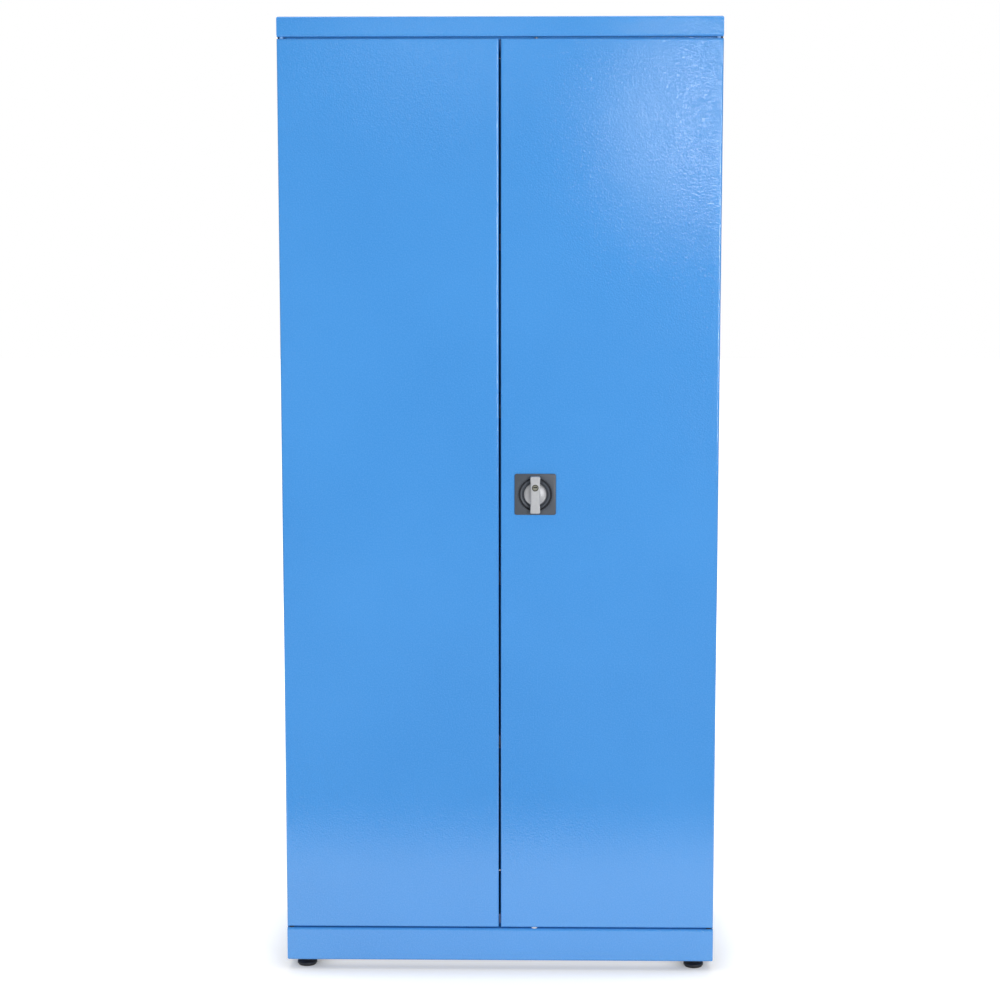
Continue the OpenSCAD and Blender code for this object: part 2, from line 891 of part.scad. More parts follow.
crown();
base();
side_panel(-1);  // left_side_panel
side_panel(1);  // right_side_panel
back_panel();
upper_door_stop();
lower_door_stop();
upright(-1, front_upright_y);  // front_left_upright
upright(-1, rear_upright_y);  // rear_left_upright
upright(1, front_upright_y);  // front_right_upright
upright(1, rear_upright_y);  // rear_right_upright
shelf_clips();
door_bumpers();
door_magnets();
pivot_pins(-1);  // left_pivot_pins
pivot_pins(1);  // right_pivot_pins
pivot_washers();
foot_gussets();
foot_nuts();
left_door_skin();
door_rib(-1);  // left_door_rib
door_bushes(-1);  // left_door_bushes
side_strike();
right_door_skin();
door_rib(1);  // right_door_rib
door_bushes(1);  // right_door_bushes
lock_rosette();
lock_bracket();
lock_screws();
rod_guides();
rod_bushes();
handle_grip();
handle_spindle();
crank_disc();
spindle_nut();
key_plug();
upper_rod();
upper_yoke();
lower_rod();
lower_yoke();
side_bolt();
shelf(1);  // shelf_1
shelf(2);  // shelf_2
shelf(3);  // shelf_3
shelf(4);  // shelf_4
foot_pad(-1, 0);  // front_left_foot_pad
foot_stud(-1, 0);  // front_left_foot_stud
foot_pad(1, 0);  // front_right_foot_pad
foot_stud(1, 0);  // front_right_foot_stud
foot_pad(-1, 1);  // rear_left_foot_pad
foot_stud(-1, 1);  // rear_left_foot_stud
foot_pad(1, 1);  // rear_right_foot_pad
foot_stud(1, 1);  // rear_right_foot_stud
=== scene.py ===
# Steel tool cabinet with two doors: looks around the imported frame
import json
import math
import bpy
import bmesh
from mathutils import Matrix, Vector


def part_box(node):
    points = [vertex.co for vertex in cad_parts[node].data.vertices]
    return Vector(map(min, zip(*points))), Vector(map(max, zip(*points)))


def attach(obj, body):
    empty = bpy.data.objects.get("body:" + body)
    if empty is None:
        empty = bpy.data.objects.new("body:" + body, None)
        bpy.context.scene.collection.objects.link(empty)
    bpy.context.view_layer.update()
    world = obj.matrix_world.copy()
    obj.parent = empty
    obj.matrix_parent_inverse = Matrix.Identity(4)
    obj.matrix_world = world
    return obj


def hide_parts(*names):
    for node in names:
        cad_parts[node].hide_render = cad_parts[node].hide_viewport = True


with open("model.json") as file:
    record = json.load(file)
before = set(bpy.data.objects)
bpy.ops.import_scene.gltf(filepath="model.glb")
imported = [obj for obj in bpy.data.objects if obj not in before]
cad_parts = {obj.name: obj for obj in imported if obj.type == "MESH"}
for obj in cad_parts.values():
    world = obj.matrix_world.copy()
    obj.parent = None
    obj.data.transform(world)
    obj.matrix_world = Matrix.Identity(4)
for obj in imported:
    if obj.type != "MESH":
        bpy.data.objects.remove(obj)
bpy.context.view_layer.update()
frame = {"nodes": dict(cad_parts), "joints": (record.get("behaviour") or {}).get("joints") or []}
nodes = frame["nodes"]
mm = 0.001
print("frame loaded:", len(nodes), "nodes")


# small helpers for node materials
def newMaterial(name, **plain):
    mat = bpy.data.materials.new(name)
    mat.use_nodes = True
    tree = mat.node_tree
    tree.nodes.clear()
    out = tree.nodes.new("ShaderNodeOutputMaterial")
    shader = tree.nodes.new("ShaderNodeBsdfPrincipled")
    tree.links.new(shader.outputs["BSDF"], out.inputs["Surface"])
    for socket, value in plain.items():
        shader.inputs[socket.replace("_", " ")].default_value = value
    coords = tree.nodes.new("ShaderNodeTexCoord").outputs["Object"]
    return mat, tree, shader, coords


def stretched(tree, coords, scale):
    place = tree.nodes.new("ShaderNodeMapping")
    place.inputs["Scale"].default_value = scale
    tree.links.new(coords, place.inputs["Vector"])
    return place.outputs["Vector"]


def noise(tree, coords, scale, detail=2.0):
    tex = tree.nodes.new("ShaderNodeTexNoise")
    tex.inputs["Scale"].default_value = scale
    tex.inputs["Detail"].default_value = detail
    tree.links.new(coords, tex.inputs["Vector"])
    return tex.outputs["Fac"]


def cells(tree, coords, scale, output="Distance"):
    tex = tree.nodes.new("ShaderNodeTexVoronoi")
    tex.inputs["Scale"].default_value = scale
    tree.links.new(coords, tex.inputs["Vector"])
    return tex.outputs[output]


def spread(tree, value, fromLow, fromHigh, toLow, toHigh):
    node = tree.nodes.new("ShaderNodeMapRange")
    for socket, number in zip(("From Min", "From Max", "To Min", "To Max"),
                              (fromLow, fromHigh, toLow, toHigh)):
        node.inputs[socket].default_value = number
    tree.links.new(value, node.inputs["Value"])
    return node.outputs["Result"]


def tint(tree, factor, first, second):
    node = tree.nodes.new("ShaderNodeMix")
    node.data_type = "RGBA"
    tree.links.new(factor, node.inputs[0])
    for socket, colour in ((node.inputs[6], first), (node.inputs[7], second)):
        if isinstance(colour, tuple):
            socket.default_value = (*colour, 1)
        else:
            tree.links.new(colour, socket)
    return node.outputs[2]


def relief(tree, shader, layers):
    last = None
    for height, distance, strength in layers:
        bump = tree.nodes.new("ShaderNodeBump")
        bump.inputs["Distance"].default_value = distance
        bump.inputs["Strength"].default_value = strength
        tree.links.new(height, bump.inputs["Height"])
        if last is not None:
            tree.links.new(last, bump.inputs["Normal"])
        last = bump.outputs["Normal"]
    tree.links.new(last, shader.inputs["Normal"])


def patchy(tree, shader, coords, scale, detail, low, high):
    rough = spread(tree, noise(tree, coords, scale, detail), 0.3, 0.7, low, high)
    tree.links.new(rough, shader.inputs["Roughness"])


# finishes; wave, peel, domes, spangle and grain each hold a pattern's scale, its height in metres
# and the strength of its bump
paint = dict(deep=(0.058, 0.288, 0.715), light=(0.066, 0.308, 0.750), pale=(0.10, 0.36, 0.80),
             ior=1.72, drift=2.4, mottle=350, smudge=9, rough=(0.10, 0.13),
             wave=(3.2, 0.0006, 0.3), peel=(225, 0.00014, 1.0), domes=(320, 0.00013, 1.0))


def bluePaint():
    mat, tree, shader, at = newMaterial("blue powder coat", IOR=paint["ior"])
    drift = noise(tree, at, paint["drift"], 3)
    broad = tint(tree, spread(tree, drift, 0.35, 0.65, 0, 1), paint["deep"], paint["light"])
    fine = spread(tree, noise(tree, at, paint["mottle"], 2), 0.4, 0.7, 0, 0.5)
    tree.links.new(tint(tree, fine, broad, paint["pale"]), shader.inputs["Base Color"])
    patchy(tree, shader, at, paint["smudge"], 3, *paint["rough"])
    wave, peel, domes = paint["wave"], paint["peel"], paint["domes"]
    relief(tree, shader, [(noise(tree, stretched(tree, at, (1, 1, 0.5)), wave[0], 1), *wave[1:]),
                          (noise(tree, at, peel[0], 2), *peel[1:]),
                          (cells(tree, at, domes[0]), *domes[1:])])
    return mat


zinc = dict(dark=(0.52, 0.54, 0.56), pale=(0.70, 0.72, 0.74), smudge=60, rough=(0.34, 0.5),
            spangle=(130, 0.00003, 0.5), grain=(900, 0.00002, 0.5))


def galvanised():
    mat, tree, shader, at = newMaterial("galvanised sheet", Metallic=1.0)
    spangle, grain = zinc["spangle"], zinc["grain"]
    crystals = cells(tree, at, spangle[0], "Color")
    tree.links.new(tint(tree, crystals, zinc["dark"], zinc["pale"]), shader.inputs["Base Color"])
    patchy(tree, shader, at, zinc["smudge"], 3, *zinc["rough"])
    relief(tree, shader, [(crystals, *spangle[1:]), (noise(tree, at, grain[0], 2), *grain[1:])])
    return mat


plating = dict(dark=(0.34, 0.35, 0.35), pale=(0.46, 0.46, 0.44), cloud=55, smudge=240,
               rough=(0.36, 0.5), grain=(700, 0.00004, 0.8))


def platedSteel():
    mat, tree, shader, at = newMaterial("zinc plated steel", Metallic=1.0)
    tree.links.new(tint(tree, noise(tree, at, plating["cloud"], 4), plating["dark"], plating["pale"]),
                   shader.inputs["Base Color"])
    patchy(tree, shader, at, plating["smudge"], 2, *plating["rough"])
    grain = plating["grain"]
    relief(tree, shader, [(noise(tree, at, grain[0], 2), *grain[1:])])
    return mat


casting = dict(metal=0.4, cloud=160, smudge=700, rough=(0.42, 0.52), grain=(1100, 0.00005, 0.6))


def castMetal(name, dark, pale):
    mat, tree, shader, at = newMaterial(name, Metallic=casting["metal"])
    tree.links.new(tint(tree, noise(tree, at, casting["cloud"], 4), dark, pale),
                   shader.inputs["Base Color"])
    patchy(tree, shader, at, casting["smudge"], 2, *casting["rough"])
    grain = casting["grain"]
    relief(tree, shader, [(noise(tree, at, grain[0], 3), *grain[1:])])
    return mat


moulding = dict(ior=1.46, cloud=90, smudge=500, relief=(0.00003, 0.7))


def moulded(name, dark, pale, low, high, grain=1500):
    mat, tree, shader, at = newMaterial(name, IOR=moulding["ior"])
    tree.links.new(tint(tree, noise(tree, at, moulding["cloud"], 4), dark, pale),
                   shader.inputs["Base Color"])
    patchy(tree, shader, at, moulding["smudge"], 2, low, high)
    relief(tree, shader, [(noise(tree, at, grain, 2), *moulding["relief"])])
    return mat


finishes = {
    "blue_paint": bluePaint(),
    "zinc": galvanised(),
    "plain_steel": platedSteel(),
    "silver_cast": castMetal("satin cast zinc", (0.48, 0.49, 0.51), (0.58, 0.59, 0.61)),
    "black_plastic": moulded("black moulded plastic", (0.012, 0.013, 0.018),
                             (0.020, 0.022, 0.028), 0.4, 0.55),
    "rubber": moulded("black rubber", (0.018, 0.018, 0.018), (0.030, 0.030, 0.030),
                      0.7, 0.85, 700),
    "magnet_black": moulded("magnet housing", (0.02, 0.02, 0.022), (0.035, 0.035, 0.037),
                            0.5, 0.65),
    "dark_plate": moulded("dark satin plate", (0.066, 0.077, 0.094), (0.080, 0.092, 0.112),
                          0.36, 0.48, 1100),
    "nylon": moulded("natural nylon", (0.62, 0.60, 0.54), (0.70, 0.68, 0.62), 0.42, 0.55),
}
brassPlug = castMetal("dull plug brass", (0.24, 0.24, 0.19), (0.32, 0.32, 0.26))
# the plug sleeve's dark tone is painted shade of the groove round the key plug
sleeveGrooveShade = castMetal("plug sleeve with painted groove shade", (0.055, 0.055, 0.040), (0.085, 0.085, 0.065))
pinBlue = moulded("blue pin coat", (0.16, 0.38, 0.72), (0.22, 0.44, 0.80), 0.3, 0.4, 900)
for name, node in nodes.items():
    for held in node.material_slots:
        key = held.material.name.split(".")[0]
        if key in finishes:
            held.material = finishes[key]
        else:
            print("no finish for", name, key)
nodes["rod_bushes"].material_slots[0].material = pinBlue  # like the pivot pins
print("finishes on the frame's nodes")


# modelling helpers, in millimetres until the piece is placed
def shell(name, bm, where=Matrix.Identity(4)):
    bmesh.ops.remove_doubles(bm, verts=bm.verts, dist=0.001)
    bmesh.ops.recalc_face_normals(bm, faces=bm.faces)
    bm.transform(where @ Matrix.Scale(mm, 4))
    data = bpy.data.meshes.new(name)
    bm.to_mesh(data)
    bm.free()
    return data


def piece(name, data, body, slot, stands=(), sharp=35, finish=None):
    data.shade_smooth()
    data.set_sharp_from_angle(angle=math.radians(sharp))
    data.materials.clear()
    data.materials.append(finish or finishes[slot])
    made = bpy.data.objects.new(name, data)
    bpy.context.scene.collection.objects.link(made)
    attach(made, body)
    if stands:
        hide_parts(*stands)


def turned(profile, steps=48, closed=False):
    bm = bmesh.new()
    points = [bm.verts.new((r, 0, h)) for r, h in profile]
    lines = [bm.edges.new(pair) for pair in zip(points, points[1:] + points[:1] * closed)]
    bmesh.ops.spin(bm, geom=points + lines, cent=(0, 0, 0), axis=(0, 0, 1), angle=math.tau,
                   steps=steps, use_merge=True, use_duplicate=False)
    bmesh.ops.remove_doubles(bm, verts=bm.verts, dist=0.001)
    bmesh.ops.recalc_face_normals(bm, faces=bm.faces)
    return bm


def block(size, at=(0, 0, 0), edge=0.0, steps=2):
    bm = bmesh.new()
    bmesh.ops.create_cube(bm, size=1)
    bmesh.ops.scale(bm, vec=size, verts=bm.verts)
    if edge:
        bmesh.ops.bevel(bm, geom=bm.edges[:], offset=edge, segments=steps, affect="EDGES",
                        profile=0.5, material=-1)
    bmesh.ops.translate(bm, vec=at, verts=bm.verts)
    return bm


def prism(sides, radius, low, high):
    bm = bmesh.new()
    bmesh.ops.create_cone(bm, cap_ends=True, segments=sides, radius1=radius, radius2=radius,
                          depth=high - low)
    bmesh.ops.translate(bm, vec=(0, 0, (low + high) / 2), verts=bm.verts)
    return bm


def softRing(size, steps):
    inner, outer, low, high, soft = (size[k] for k in ("inner", "outer", "low", "high", "soft"))
    return turned([(inner, low), (outer, low), (outer, high - soft), (outer - soft, high),
                   (inner + soft, high), (inner, high - soft)], steps, True)


def joined(*parts):
    whole = bmesh.new()
    for part in parts:
        data = bpy.data.meshes.new("part")
        part.to_mesh(data)
        part.free()
        whole.from_mesh(data)
        bpy.data.meshes.remove(data)
    return whole


def asMesh(bm):
    data = bpy.data.meshes.new("step")
    bm.to_mesh(data)
    bm.free()
    return data


def settled(data, *changes):
    body = bpy.data.objects.new("step", data)
    bpy.context.scene.collection.objects.link(body)
    for kind, values in changes:
        change = body.modifiers.new(kind, kind)
        for key, value in values.items():
            setattr(change, key, value)
    shaped = body.evaluated_get(bpy.context.evaluated_depsgraph_get())
    ready = bpy.data.meshes.new_from_object(shaped)
    bpy.data.objects.remove(body)
    bm = bmesh.new()
    bm.from_mesh(ready)
    bpy.data.meshes.remove(ready)
    return bm


def combined(first, second, how):
    tool = bpy.data.objects.new("tool", asMesh(second))
    bpy.context.scene.collection.objects.link(tool)
    result = settled(asMesh(first), ("BOOLEAN", dict(operation=how, object=tool, solver="EXACT")))
    bpy.data.objects.remove(tool)
    return result


# the lock on the right-hand door
handleJoint = next(j for j in frame["joints"] if j["name"] == "handle_turn")
lockSpot = Matrix.Translation(handleJoint["pos_m"]) @ Matrix.Rotation(math.radians(90), 4, "X")
doorFace = handleJoint["pos_m"][1]


def fromDoorFace(x, y, z):
    return Matrix.Translation((x * mm, doorFace + y * mm, z * mm))


def turnedToFront(x, y, z):
    return Matrix.Translation((x, y, z)) @ Matrix.Rotation(math.radians(90), 4, "X")


rosette = dict(side=85, corner=4, thick=3.5, chamfer=0.7, hole=34.5,
               # radius and height of each step, from the ring's foot over the groove to its back
               steps=((36, 1.5), (36, 4.6), (35.5, 5.3), (34.9, 5.3), (34.5, 4.8), (34.4, 0.7),
                      (34.1, 0.3), (31.4, 0.3), (31.1, 0.6), (30.8, 2.2), (30.2, 2.6),
                      (27.6, 2.3), (27.0, 1.7), (26.4, -2.0), (25.9, -2.5),
                      (5.05, -2.5), (5.05, -4.0), (27.2, -4.0), (32.6, 0), (32.6, 1.5)))


def makeRosette():
    plate = bmesh.new()
    half = rosette["side"] / 2
    bmesh.ops.create_grid(plate, x_segments=1, y_segments=1, size=half)
    bmesh.ops.bevel(plate, geom=plate.verts[:], offset=rosette["corner"], segments=8,
                    affect="VERTICES", profile=0.5, material=-1)
    up = bmesh.ops.extrude_face_region(plate, geom=plate.faces[:], use_keep_orig=True)["geom"]
    tops = [g for g in up if isinstance(g, bmesh.types.BMVert)]
    bmesh.ops.translate(plate, vec=(0, 0, rosette["thick"]), verts=tops)
    bmesh.ops.recalc_face_normals(plate, faces=plate.faces)
    rim = [e for e in plate.edges if min(p.co.z for p in e.verts) > rosette["chamfer"]]
    bmesh.ops.bevel(plate, geom=rim, offset=rosette["chamfer"], segments=2, affect="EDGES",
                    profile=0.5, material=-1)
    plate = combined(plate, prism(96, rosette["hole"], -1, rosette["thick"] + 1), "DIFFERENCE")
    dish = turned(rosette["steps"], 96, True)
    whole = combined(plate, dish, "UNION")
    piece("lock_rosette_cast", shell("lock_rosette_cast", whole, lockSpot), "right_door",
          "dark_plate", ["lock_rosette"], 30)


makeRosette()

# a black ring in the groove round the lock's dish, shaped as a gasket: painted shade of the groove's
# steep wall
grooveShade = dict(inner=31.6, outer=34.3, low=0.4, high=3.9, soft=0.5)


def makeGrooveShade():
    ring = softRing(grooveShade, 96)
    piece("lock_groove_shade_ring", shell("lock_groove_shade_ring", ring, lockSpot), "right_door",
          "black_plastic", (), 30)


makeGrooveShade()

grip = dict(hub=23, back=-2, rim=2, top=9, seat=3, spindle=5.05, width=21, length=76, corner=3,
            low=6, high=20, waist=1.4, rows=24, softBack=0.6, softEdge=1.1, boreAt=15, bore=6.05,
            boreFloor=10.2, seatRadius=6.95, seatFloor=18.8, voxel=0.42,
            smooth=dict(factor=0.5, iterations=3))


def makeGrip():
    hub, back, seat, soft = grip["hub"], grip["back"], grip["seat"], grip["softBack"]
    rise = grip["top"] - grip["rim"]
    arc = [math.radians(a) for a in range(0, 91, 6)]
    dome = turned([(0, seat), (grip["spindle"], seat), (grip["spindle"], back),
                   (hub - soft, back), (hub, back + soft)]
                  + [(hub * math.cos(a), grip["rim"] + rise * math.sin(a)) for a in arc], 72)
    bar = bmesh.new()
    bmesh.ops.create_grid(bar, x_segments=1, y_segments=grip["rows"], size=0.5)
    bmesh.ops.scale(bar, vec=(grip["width"], grip["length"], 1), verts=bar.verts)
    for point in bar.verts:
        share = 2 * point.co.y / grip["length"]
        narrow = 1 - 2 * grip["waist"] * (1 - share ** 2) / grip["width"]
        bmesh.ops.scale(bar, vec=(narrow, 1, 1), verts=[point])
    corners = [p for p in bar.verts if len(p.link_edges) == 2]
    bmesh.ops.bevel(bar, geom=corners, offset=grip["corner"], segments=5, affect="VERTICES",
                    profile=0.5, material=-1)
    raised = bmesh.ops.extrude_face_region(bar, geom=bar.faces[:], use_keep_orig=True)["geom"]
    tops = [g for g in raised if isinstance(g, bmesh.types.BMVert)]
    bmesh.ops.translate(bar, vec=(0, 0, grip["high"] - grip["low"]), verts=tops)
    bmesh.ops.recalc_face_normals(bar, faces=bar.faces)
    steep = math.radians(69)  # only the edges of the outline turn this much
    rim = [e for e in bar.edges if e.calc_face_angle(0) > steep
           and min(p.co.z for p in e.verts) > (grip["high"] - grip["low"]) / 2]
    bmesh.ops.bevel(bar, geom=rim, offset=grip["softEdge"], segments=3, affect="EDGES",
                    profile=0.5, material=-1)
    bmesh.ops.translate(bar, vec=(0, 0, grip["low"]), verts=bar.verts)
    whole = settled(asMesh(joined(dome, bar)),
                    ("REMESH", dict(mode="VOXEL", voxel_size=grip["voxel"])),
                    ("SMOOTH", grip["smooth"]))
    bore = turned([(0, grip["boreFloor"]), (grip["bore"], grip["boreFloor"]),
                   (grip["bore"], grip["seatFloor"]), (grip["seatRadius"], grip["seatFloor"]),
                   (grip["seatRadius"], grip["high"] + 1), (0, grip["high"] + 1)], 48)
    bmesh.ops.translate(bore, vec=(0, grip["boreAt"], 0), verts=bore.verts)
    whole = combined(whole, bore, "DIFFERENCE")
    piece("handle_grip_cast", shell("handle_grip_cast", whole, lockSpot), "handle",
          "silver_cast", ["handle_grip"], 60)


makeGrip()

plug = dict(radius=6, back=10.6, neck=16.6, front=19.6, lip=5.0, face=19.4, soft=0.25,
            rimWidth=0.6, faceIn=0.9, slot=(7.6, 2.6, 8), slotUp=1.2, keyway=(7.7, 2.7, 3.4),
            keywayAt=16.8, keywaySoft=0.1)


def makePlug():
    radius, back, neck, lip = plug["radius"], plug["back"], plug["neck"], plug["lip"]
    front, face, soft = plug["front"], plug["face"], plug["soft"]
    barrel = turned([(0, back), (radius, back), (radius, neck), (lip, neck), (lip, front - soft),
                     (lip - soft, front), (lip - plug["rimWidth"], front),
                     (lip - plug["faceIn"], face), (0, face)], 48)
    slot = block(plug["slot"], (0, plug["slotUp"], front), soft)
    barrel = combined(barrel, slot, "DIFFERENCE")
    bmesh.ops.translate(barrel, vec=(0, grip["boreAt"], 0), verts=barrel.verts)
    piece("key_plug_turned", shell("key_plug_turned", barrel, lockSpot), "key_cylinder",
          "silver_cast", ["key_plug"], 25, brassPlug)
    # a dark block at the bottom of the keyway: painted shade in the slot
    keyway = block(plug["keyway"], (0, grip["boreAt"] + plug["slotUp"], plug["keywayAt"]),
                   plug["keywaySoft"])
    piece("key_plug_keyway_shade", shell("keyway", keyway, lockSpot), "key_cylinder", "magnet_black",
          (), 30)


makePlug()

# a ring round the key plug, dark to stand in for the shade of the groove between plug and grip
sleeve = dict(inner=5.12, outer=6.9, low=18.85, high=19.7, soft=0.2)


def makeSleeve():
    ring = softRing(sleeve, 48)
    bmesh.ops.translate(ring, vec=(0, grip["boreAt"], 0), verts=ring.verts)
    piece("key_plug_sleeve_shade", shell("key_plug_sleeve_shade", ring, lockSpot), "handle",
          "magnet_black", (), 30, sleeveGrooveShade)


makeSleeve()

screws = dict(off=36, shank=2, head=4, headHeight=2.2, low=-2.3, neck=2.5, cross=(4.4, 0.9, 2.4),
              # share of the head's radius, and depth under its top
              crown=((0.85, 0.55), (0.5, 0.12), (0, 0)), rim=0.8)


def makeLockScrews():
    parts = []
    for x in (-1, 1):
        for y in (-1, 1):
            top = screws["neck"] + screws["headHeight"]
            screw = turned([(0, screws["low"]), (screws["shank"], screws["low"]),
                            (screws["shank"], screws["neck"]), (screws["head"], screws["neck"]),
                            (screws["head"], screws["neck"] + screws["rim"])]
                           + [(screws["head"] * r, top - h) for r, h in screws["crown"]], 24)
            for turn in (0, 90):
                cut = block(screws["cross"], (0, 0, top))
                bmesh.ops.rotate(cut, cent=(0, 0, 0), verts=cut.verts,
                                 matrix=Matrix.Rotation(math.radians(turn), 3, "Z"))
                screw = combined(screw, cut, "DIFFERENCE")
            bmesh.ops.rotate(screw, cent=(0, 0, 0), verts=screw.verts,
                             matrix=Matrix.Rotation(math.pi, 3, "X"))
            bmesh.ops.translate(screw, vec=(x * screws["off"], y * screws["off"], 0),
                                verts=screw.verts)
            parts.append(screw)
    piece("lock_screws_pan_head", shell("lock_screws_pan_head", joined(*parts), lockSpot),
          "right_door", "plain_steel", ["lock_screws"], 30)


makeLockScrews()

# levelling feet
feet = dict(x=0.412, y=(-0.165, 0.185), names=("front", "rear"),
            pad=((0, 1.2), (17.6, 1.2), (18.5, 1.6), (19.5, 2.5), (20.4, 3.0), (20.8, 3.4),
                 (21, 4.0), (21, 6.4), (20.8, 7.1), (20.3, 7.6), (19.5, 8.0), (14, 9.3),
                 (11, 10), (10.2, 10.6), (10, 11.4), (10, 13.6), (9.6, 14), (0, 14)),
            sole=((0, 0.5), (6, 0.5), (6.6, 0), (9, 0), (9.6, 0.5), (12, 0.5), (12.6, 0),
                  (15, 0), (15.6, 0.5), (16.6, 0.5), (17, 0), (18.2, 0), (18.5, 0.3),
                  (18.9, 1.6), (0, 1.6)),
            rod=5, soft=0.3, pitch=1.5, threadLow=19.4, threadTop=60.6, shankLow=8.2,
            # radius of each point of the thread, and height over the ridge's foot
            ridge=((4.15, 0), (4.21, 0.16), (4.92, 0.64), (4.92, 0.86), (4.21, 1.34)),
            collar=dict(low=14, high=20, across=8.5, cone=0.8),
            nut=dict(low=24, high=34, across=10, bore=5.05, cone=0.9))


def thread(low, high):
    turns = int((high - low) / feet["pitch"]) + 3
    steps = 24
    bm = bmesh.new()
    zigzag = []
    for k in range(turns):  # starts a turn and a half low, and the ends are cut off
        z = low - 1.5 * feet["pitch"] + k * feet["pitch"]
        zigzag += [bm.verts.new((r, 0, z + h)) for r, h in feet["ridge"]]
    lines = [bm.edges.new(pair) for pair in zip(zigzag, zigzag[1:])]
    bmesh.ops.spin(bm, geom=zigzag + lines, cent=(0, 0, 0), axis=(0, 0, 1), angle=math.tau,
                   steps=steps, dvec=(0, 0, feet["pitch"] / steps), use_duplicate=False)
    bmesh.ops.remove_doubles(bm, verts=bm.verts, dist=0.002)
    for z, side in ((low, -1), (high, 1)):
        everything = bm.verts[:] + bm.edges[:] + bm.faces[:]
        bmesh.ops.bisect_plane(bm, geom=everything, plane_co=(0, 0, z), plane_no=(0, 0, side),
                               clear_outer=True)
        bmesh.ops.holes_fill(bm, edges=[e for e in bm.edges if e.is_boundary
                                        and abs(e.verts[0].co.z - z) < 0.01], sides=0)
    return bm


# across is the corners' radius; the flats are a share of it, and the cones start a little past it
hexagon = dict(flats=0.87, past=0.05, bevel=0.5)


def chamferedHexagon(low, high, across, cone, bore=0):
    flat, wide, bevel = across * hexagon["flats"], across + hexagon["past"], hexagon["bevel"]
    outside = [(flat, low), (wide, low + cone), (wide, high - cone), (flat, high)]
    if bore:
        solid = turned([(bore, low + bevel), (bore + bevel, low), *outside,
                        (bore + bevel, high), (bore, high - bevel)], 48, True)
    else:
        solid = turned([(0, low), *outside, (0, high)])
    return combined(solid, prism(6, across, low - 1, high + 1), "INTERSECT")


def makeFeet():
    nuts = []
    rod, soft = feet["rod"], feet["soft"]
    low, high = feet["shankLow"], feet["collar"]["low"] + 1  # the shank runs into the collar
    for row, word in zip(feet["y"], feet["names"]):
        for side, hand in ((-1, "left"), (1, "right")):
            spot = Matrix.Translation((side * feet["x"], row, 0))
            name = f"{word}_{hand}_foot"
            pad = turned(feet["pad"], 64)
            piece(name + "_pad_moulded", shell("pad", pad, spot), name, "black_plastic",
                  [name + "_pad"], 25)
            piece(name + "_sole", shell("sole", turned(feet["sole"], 64), spot), name, "rubber",
                  (), 25)
            shank = turned([(0, low), (rod - soft, low), (rod, low + soft), (rod, high), (0, high)], 32)
            collar = chamferedHexagon(**feet["collar"])
            stud = joined(shank, collar, thread(feet["threadLow"], feet["threadTop"]))
            piece(name + "_stud_threaded", shell("stud", stud, spot), name, "plain_steel",
                  [name + "_stud"], 40)
            nut = chamferedHexagon(**feet["nut"])
            bmesh.ops.translate(nut, vec=(side * feet["x"] / mm, row / mm, 0), verts=nut.verts)
            nuts.append(nut)
    piece("foot_nuts_chamfered", shell("nuts", joined(*nuts)), "carcass", "plain_steel",
          ["foot_nuts"], 30)


makeFeet()

# the nut behind the lock's crank disc
spindleNut = dict(low=-13.7, high=-10.5, across=6.6, bore=5.05, cone=0.6)


def makeSpindleNut():
    nut = chamferedHexagon(**spindleNut)
    piece("spindle_nut_chamfered", shell("spindle nut", nut, lockSpot), "handle", "plain_steel",
          ["spindle_nut"], 30)


makeSpindleNut()
print("lock pieces and levelling feet")

# pivots: corner pins with domed heads, and the washers the doors stand on
pivots = dict(x=441, y=9, shaft=4, head=5.5, headHigh=3, edge=0.8,
              upper=(1916, 1941), lower=(89, 113), washer=dict(low=90, high=92.9, bore=4.05, cut=0.3),
              # share of the head's radius and height, from its rim to its top
              dome=((1, 0), (1, 0.35), (0.92, 0.65), (0.68, 0.9), (0.36, 0.99), (0, 1)))


def makePivots():
    reach, head, high, edge = pivots["shaft"], pivots["head"], pivots["headHigh"], pivots["edge"]
    dome = [(head * r, high * h) for r, h in pivots["dome"]]
    washer = pivots["washer"]
    rings = []
    for side, word in ((-1, "left"), (1, "right")):
        pins = []
        for (low, top), way in ((pivots["upper"], 1), (pivots["lower"], -1)):
            length = top - low
            pin = turned([(0, -length), (reach - edge, -length), (reach, edge - length), (reach, 0)]
                         + dome, 32)
            if way < 0:
                bmesh.ops.rotate(pin, cent=(0, 0, 0), verts=pin.verts,
                                 matrix=Matrix.Rotation(math.pi, 3, "X"))
            bmesh.ops.translate(pin, vec=(0, 0, top if way > 0 else low), verts=pin.verts)
            pins.append(pin)
        spot = fromDoorFace(side * pivots["x"], pivots["y"], 0)
        piece(word + "_pivot_pins_turned", shell("pins", joined(*pins), spot), "carcass",
              "plain_steel", [word + "_pivot_pins"], 30, pinBlue)
        low, top, bore, cut = (washer[k] for k in ("low", "high", "bore", "cut"))
        ring = turned([(bore, low), (head - cut, low), (head, low + cut), (head, top - cut),
                       (head - cut, top), (bore, top)], 40, True)
        bmesh.ops.translate(ring, vec=(side * pivots["x"], 0, 0), verts=ring.verts)
        rings.append(ring)
    piece("pivot_washers_turned", shell("washers", joined(*rings), fromDoorFace(0, pivots["y"], 0)),
          "carcass", "plain_steel", ["pivot_washers"], 30, finishes["black_plastic"])


makePivots()

# thin dark rubber blocks on the posts, behind the ends of the gaps over and under the doors: painted
# shade that keeps the gap ends dark
seals = dict(size=(10.4, 0.9, 9.4), x=444.6, y=21.1, z=(1935.2, 94.8), edge=0.3)


def makeGapShade():
    every = [block(seals["size"], (side * seals["x"], 0, z), seals["edge"])
             for side in (-1, 1) for z in seals["z"]]
    piece("post_corner_gap_shade", shell("seals", joined(*every), fromDoorFace(0, seals["y"], 0)),
          "carcass", "rubber", (), 30)


makeGapShade()

# filled lower corners of the crown and upper corners of the plinth, beside the gaps
infill = dict(size=(4.8, 22, 4.6), x=447.5, y=12.7, z=(1942.4, 87.6), edge=0.2)


